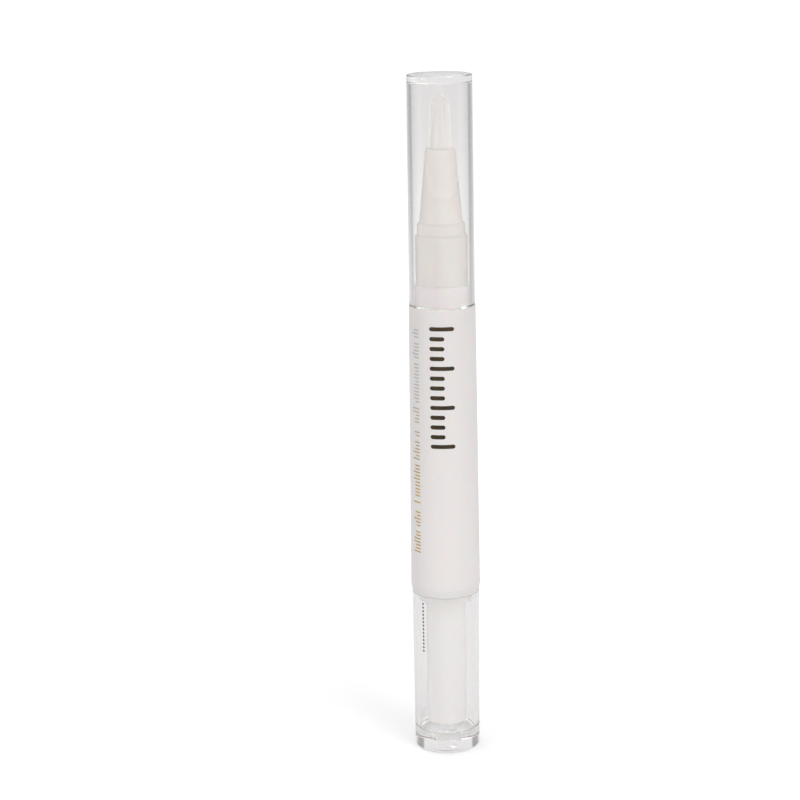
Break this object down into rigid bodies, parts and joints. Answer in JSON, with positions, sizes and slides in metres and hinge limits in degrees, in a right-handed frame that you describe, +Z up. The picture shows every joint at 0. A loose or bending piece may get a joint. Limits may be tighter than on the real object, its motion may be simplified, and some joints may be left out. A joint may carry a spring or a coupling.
{
  "type": "nail oil pen",
  "caption": "Slim round twist-up oil pen standing on its clear knob, with a frosted barrel, a brush tip and a clear pull-off cap.",
  "frame": {"origin": "centre of the knob's flat base, on the surface that the pen stands on", "axes": "+Z up along the pen's axis, from the knob to the cap; X and Y lie in the base plane"},
  "size_m": [0.0134, 0.0134, 0.132],
  "materials": {
    "clear_plastic": "polished, water clear",
    "frosted_plastic": "satin, milky",
    "white_plastic": "moulded, semi-gloss",
    "tough_plastic": "moulded, natural white",
    "soft_plastic": "soft moulded",
    "bristle_nylon": "fine white filaments"
  },
  "bodies": {
    "barrel": {"barrel": "frosted_plastic", "neck_plug": "white_plastic", "brush_holder": "white_plastic", "tuft_retainer": "tough_plastic", "feed_tube": "tough_plastic", "bristle_tuft": "bristle_nylon", "ratchet_sleeve": "white_plastic", "thread_nut": "white_plastic"},
    "cap": {"cap": "clear_plastic"},
    "knob": {"knob_shell": "clear_plastic", "drive_core": "white_plastic", "click_collar": "tough_plastic"},
    "rod": {"screw_rod": "tough_plastic"},
    "piston": {"piston": "soft_plastic"}
  },
  "joints": [
    {"name": "cap_pull", "type": "slide", "parent": "barrel", "child": "cap", "axis": [0, 0, 1], "range_m": [0, 0.046]},
    {"name": "knob_twist", "type": "hinge", "parent": "barrel", "child": "knob", "pos_m": [0, 0, 0.016], "axis": [0, 0, 1], "range_deg": [0, 3960]},
    {"name": "rod_feed", "type": "slide", "parent": "knob", "child": "rod", "axis": [0, 0, 1], "range_m": [0, 0.0331]},
    {"name": "piston_feed", "type": "slide", "parent": "barrel", "child": "piston", "axis": [0, 0, 1], "range_m": [0, 0.0331]}
  ],
  "couplings": [
    {"joint": "rod_feed", "follows": "knob_twist", "m_per_rad": 0.00047746},
    {"joint": "piston_feed", "follows": "knob_twist", "m_per_rad": 0.00047746}
  ]
}
